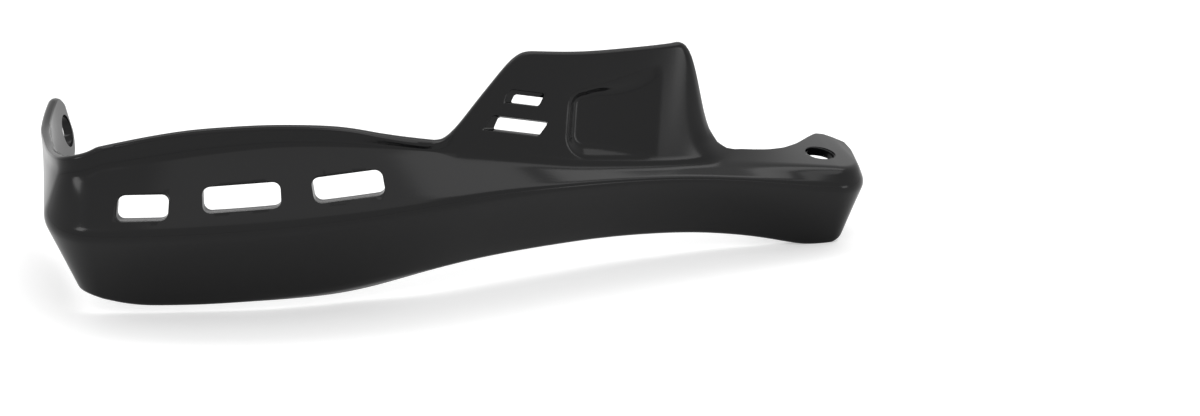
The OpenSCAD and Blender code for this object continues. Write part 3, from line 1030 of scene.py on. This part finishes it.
def plastic_material(settings):
    """Semi-gloss black plastic with a fine moulded grain and a faint unevenness."""
    material = bpy.data.materials.new("moulded_black_plastic")
    material.use_nodes = True
    nodes, links = material.node_tree.nodes, material.node_tree.links
    shader = nodes["Principled BSDF"]
    shader.inputs["Specular IOR Level"].default_value = SPECULAR_LEVEL
    shader.inputs["IOR"].default_value = REFRACTION
    where = nodes.new("ShaderNodeTexCoord")
    cloud = nodes.new("ShaderNodeTexNoise")
    cloud.inputs["Scale"].default_value = CLOUD_SCALE
    cloud.inputs["Detail"].default_value = CLOUD_DETAIL
    links.new(where.outputs["Object"], cloud.inputs["Vector"])
    tint = nodes.new("ShaderNodeMix")
    tint.data_type = "RGBA"
    for name, share in zip(("A", "B"), TINT_SHARES):
        tint.inputs[name].default_value = (*(share * c for c in settings.plastic_colour), 1)
    links.new(cloud.outputs["Fac"], tint.inputs["Factor"])
    links.new(tint.outputs["Result"], shader.inputs["Base Color"])
    rough = nodes.new("ShaderNodeMapRange")
    rough.inputs["From Min"].default_value = CLOUD_RANGE[0]
    rough.inputs["From Max"].default_value = CLOUD_RANGE[1]
    rough.inputs["To Min"].default_value = settings.plastic_roughness + GLOSS_RANGE[0]
    rough.inputs["To Max"].default_value = settings.plastic_roughness + GLOSS_RANGE[1]
    links.new(cloud.outputs["Fac"], rough.inputs["Value"])
    links.new(rough.outputs["Result"], shader.inputs["Roughness"])
    grain = nodes.new("ShaderNodeTexNoise")
    grain.inputs["Scale"].default_value = GRAIN_SCALE
    grain.inputs["Detail"].default_value = GRAIN_DETAIL
    links.new(where.outputs["Object"], grain.inputs["Vector"])
    bump = nodes.new("ShaderNodeBump")
    bump.inputs["Strength"].default_value = settings.grain_depth
    bump.inputs["Distance"].default_value = GRAIN_HEIGHT
    links.new(grain.outputs["Fac"], bump.inputs["Height"])
    links.new(bump.outputs["Normal"], shader.inputs["Normal"])
    return material


class HANDGUARD_OT_moulding(bpy.types.Operator):
    """Build the moulded guard from its sections, then cut its slots, vents and bores."""

    bl_idname = "handguard.moulding"
    bl_label = "Moulding"

    def execute(self, context):
        settings = context.scene.guard_settings
        rim = settings.rim_rounding / MM
        places = row_places()
        edge_rows = [corners(s, rim) for s in places]
        rings = [section_ring(edge_rows, places, i, rim) for i in range(len(places))]
        shell = self.bent_sheet(np.array(rings) * MM)
        cutters = self.slot_cutters(settings) + self.vent_cutters(settings) + self.bore_cutters()
        deselect()
        for cutter in cutters:
            cutter.select_set(True)
        context.view_layer.objects.active = cutters[0]
        bpy.ops.object.join()
        joined = context.object
        only(shell)
        uncut_faces = len(shell.data.polygons)
        cut = shell.modifiers.new("openings", "BOOLEAN")
        cut.operation = "DIFFERENCE"
        cut.solver = "MANIFOLD"
        cut.object = joined
        bpy.ops.object.modifier_apply(modifier=cut.name)
        bpy.data.objects.remove(joined)
        if len(shell.data.polygons) in (0, uncut_faces):
            raise RuntimeError("The openings were not cut.")
        only(shell)
        bpy.ops.object.shade_smooth_by_angle(angle=SMOOTH_ANGLE)
        shell.data.materials.clear()
        shell.data.materials.append(plastic_material(settings))
        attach(shell, "root")
        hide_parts("guard")
        return {"FINISHED"}

    def bent_sheet(self, rings):
        """Lays a flat grid over the rings and closes its seam and its two ends."""
        rows, count = rings.shape[:2]
        deselect()
        bpy.ops.mesh.primitive_grid_add(x_subdivisions=rows - 1, y_subdivisions=count, size=2.0)
        sheet = bpy.context.object
        sheet.name = "moulding"
        flat = np.empty(len(sheet.data.vertices) * 3)
        sheet.data.vertices.foreach_get("co", flat)
        flat = flat.reshape(-1, 3)
        row = np.rint((flat[:, 0] + 1) / 2 * (rows - 1)).astype(int)
        turn = np.rint((flat[:, 1] + 1) / 2 * count).astype(int) % count
        sheet.data.vertices.foreach_set("co", rings[row, turn].reshape(-1))
        sheet.data.update()
        bpy.ops.object.mode_set(mode="EDIT")
        bpy.ops.mesh.select_all(action="SELECT")
        bpy.ops.mesh.remove_doubles(threshold=NEAR)
        bpy.ops.mesh.select_all(action="SELECT")
        bpy.ops.mesh.normals_make_consistent(inside=False)
        bpy.ops.object.mode_set(mode="OBJECT")
        return sheet

    def slot_cutters(self, settings):
        """Cutters of the slots in the blade, which lead almost level through its sloping face."""
        made = []
        flare = settings.slot_bevel / MM
        s = BLADE_START
        for step, width, up in zip(SLOT_STEPS, SLOT_WIDTHS, SLOT_UPS):
            s += step
            matrix = blade_frame(s, up)
            way = matrix.to_3x3().inverted() @ Vector((0, -math.cos(SLOT_FALL), math.sin(SLOT_FALL)))
            deep = -CUT_DEPTH / way.z
            levels = [(-CUT_DEPTH, deep * way.x, deep * way.y, width, SLOT_HEIGHT, 0)]
            levels += rounded_mouth(0, 0, width, SLOT_HEIGHT, 0, flare)
            made.append(shaped_cutter("slot_cutter", SLOT_CORNER_R, levels, matrix))
        return made

    def vent_cutters(self, settings):
        """Cutters of the slanted vents in the deflector, each narrowing from its mouth to its back."""
        made = []
        flare = settings.vent_bevel / MM
        for inner, mouth in (UPPER_VENT, LOWER_VENT):
            x, y, width, height, lean = mouth
            levels = [(-CUT_DEPTH, *inner), (-VENT_RECESS, *inner)]
            levels += rounded_mouth(x, y, width - 2 * flare, height - 2 * flare, lean, flare)
            made.append(shaped_cutter("vent_cutter", VENT_CORNER_R, levels, deflector_frame()))
        return made

    def bore_cutters(self):
        """Cutters of the bar-end bore and the plate's bore."""
        ear_end = (-WALL * MM * math.cos(EAR_ANGLE), 0, -WALL * MM * math.sin(EAR_ANGLE))
        ear = Matrix.Translation(ear_end) @ Matrix.Rotation(math.radians(-90 - EAR_TILT), 4, "Y")
        plate_end = [value * MM for value in PLATE_BORE]
        plate = Matrix.Translation(plate_end) @ Matrix.Rotation(PLATE_ANGLE, 4, "Y")
        return [
            bore_cutter("ear_bore_cutter", EAR_BORE_D, ear),
            bore_cutter("plate_bore_cutter", PLATE_BORE_D, plate),
        ]


class HANDGUARD_OT_stage(bpy.types.Operator):
    """Set up the pale floor, the soft lamps and the camera."""

    bl_idname = "handguard.stage"
    bl_label = "Stage"

    def execute(self, context):
        settings = context.scene.stage_settings
        self.floor(settings)
        self.world(context.scene)
        self.lamps(settings)
        self.camera(context.scene, settings)
        context.scene.view_settings.view_transform = "Standard"
        return {"FINISHED"}

    def floor(self, settings):
        """Wide pale floor under the guard."""
        deselect()
        middle = (*FLOOR_MIDDLE, cad_low.z - FLOOR_GAP)
        bpy.ops.mesh.primitive_plane_add(size=FLOOR_SIZE, location=middle)
        floor = bpy.context.object
        floor.name = "floor"
        bpy.ops.object.transform_apply(location=True, rotation=True, scale=True)
        material = bpy.data.materials.new("pale_floor")
        material.use_nodes = True
        nodes, links = material.node_tree.nodes, material.node_tree.links
        shader = nodes["Principled BSDF"]
        shader.inputs["Base Color"].default_value = (*settings.floor_colour, 1)
        shader.inputs["Roughness"].default_value = FLOOR_ROUGHNESS
        glow = nodes.new("ShaderNodeEmission")
        glow.inputs["Color"].default_value = WHITE
        glow.inputs["Strength"].default_value = FLOOR_GLOW
        both = nodes.new("ShaderNodeAddShader")
        seen = nodes.new("ShaderNodeLightPath")
        mix = nodes.new("ShaderNodeMixShader")
        links.new(shader.outputs[0], both.inputs[0])
        links.new(glow.outputs[0], both.inputs[1])
        links.new(seen.outputs["Is Camera Ray"], mix.inputs["Fac"])
        links.new(shader.outputs[0], mix.inputs[1])
        links.new(both.outputs[0], mix.inputs[2])
        links.new(mix.outputs[0], nodes["Material Output"].inputs["Surface"])
        floor.data.materials.append(material)

    def world(self, scene):
        """Even pale surroundings, white where the camera or a reflection sees them."""
        world = bpy.data.worlds.new("studio")
        scene.world = world
        world.use_nodes = True
        nodes, links = world.node_tree.nodes, world.node_tree.links
        lit = nodes["Background"]
        lit.inputs["Color"].default_value = WHITE
        lit.inputs["Strength"].default_value = ROOM_LIGHT
        seen = nodes.new("ShaderNodeBackground")
        seen.inputs["Color"].default_value = WHITE
        seen.inputs["Strength"].default_value = ROOM_SEEN
        path = nodes.new("ShaderNodeLightPath")
        seen_or_mirrored = nodes.new("ShaderNodeMath")
        seen_or_mirrored.operation = "MAXIMUM"
        seen_any_way = nodes.new("ShaderNodeMath")
        seen_any_way.operation = "MAXIMUM"
        mix = nodes.new("ShaderNodeMixShader")
        links.new(path.outputs["Is Camera Ray"], seen_or_mirrored.inputs[0])
        links.new(path.outputs["Is Glossy Ray"], seen_or_mirrored.inputs[1])
        links.new(seen_or_mirrored.outputs[0], seen_any_way.inputs[0])
        links.new(path.outputs["Is Transmission Ray"], seen_any_way.inputs[1])
        links.new(seen_any_way.outputs[0], mix.inputs["Fac"])
        links.new(lit.outputs[0], mix.inputs[1])
        links.new(seen.outputs[0], mix.inputs[2])
        links.new(mix.outputs[0], nodes["World Output"].inputs["Surface"])

    def lamps(self, settings):
        """Soft lamps: overhead, above the camera, by the inner end and by the outer corner."""
        middle = (cad_low + cad_high) / 2
        for name, power, (width, depth, from_middle) in (
            ("top_lamp", settings.top_light, TOP_LAMP),
            ("front_lamp", settings.front_light, FRONT_LAMP),
            ("side_lamp", settings.side_light, SIDE_LAMP),
            ("low_lamp", settings.low_light, LOW_LAMP),
            ("left_lamp", settings.left_light, LEFT_LAMP),
        ):
            offset = Vector(from_middle)
            deselect()
            bpy.ops.object.light_add(type="AREA", location=middle + offset)
            lamp = bpy.context.object
            lamp.name = name
            lamp.data.shape = "RECTANGLE"
            lamp.data.size = width
            lamp.data.size_y = depth
            lamp.data.energy = power
            lamp.rotation_euler = (-offset).to_track_quat("-Z", "Y").to_euler()
            lamp.visible_camera = False

    def camera(self, scene, settings):
        """Camera at the photograph's place."""
        deselect()
        bpy.ops.object.camera_add(location=settings.camera_place)
        camera = bpy.context.object
        camera.name = "camera"
        camera.rotation_euler = (math.pi / 2 - settings.camera_fall, 0, 0)
        camera.data.sensor_width = SENSOR_WIDTH
        camera.data.lens = settings.camera_lens
        camera.data.clip_start = CLIP_START
        camera.data.clip_end = CLIP_END
        scene.camera = camera


class HANDGUARD_PT_panel(bpy.types.Panel):
    """Sidebar panel with the guard's settings and steps."""

    bl_idname = "HANDGUARD_PT_panel"
    bl_label = "Hand guard"
    bl_space_type = "VIEW_3D"
    bl_region_type = "UI"
    bl_category = "Hand guard"

    def draw(self, context):
        layout = self.layout
        for settings in (context.scene.guard_settings, context.scene.stage_settings):
            box = layout.box()
            for name in settings.__annotations__:
                box.prop(settings, name)
        for step in STEPS:
            layout.operator(step.bl_idname)


GROUPS = (GuardSettings, StageSettings)
STEPS = (HANDGUARD_OT_moulding, HANDGUARD_OT_stage)
CLASSES = GROUPS + STEPS + (HANDGUARD_PT_panel,)


def register():
    """Register the classes and their settings."""
    for cls in CLASSES:
        bpy.utils.register_class(cls)
    bpy.types.Scene.guard_settings = bpy.props.PointerProperty(type=GuardSettings)
    bpy.types.Scene.stage_settings = bpy.props.PointerProperty(type=StageSettings)


def unregister():
    """Remove the settings and the classes."""
    del bpy.types.Scene.stage_settings
    del bpy.types.Scene.guard_settings
    for cls in reversed(CLASSES):
        bpy.utils.unregister_class(cls)


def main():
    """Build the guard and its stage."""
    register()
    bpy.ops.handguard.moulding()
    bpy.ops.handguard.stage()


if __name__ == "__main__":
    main()
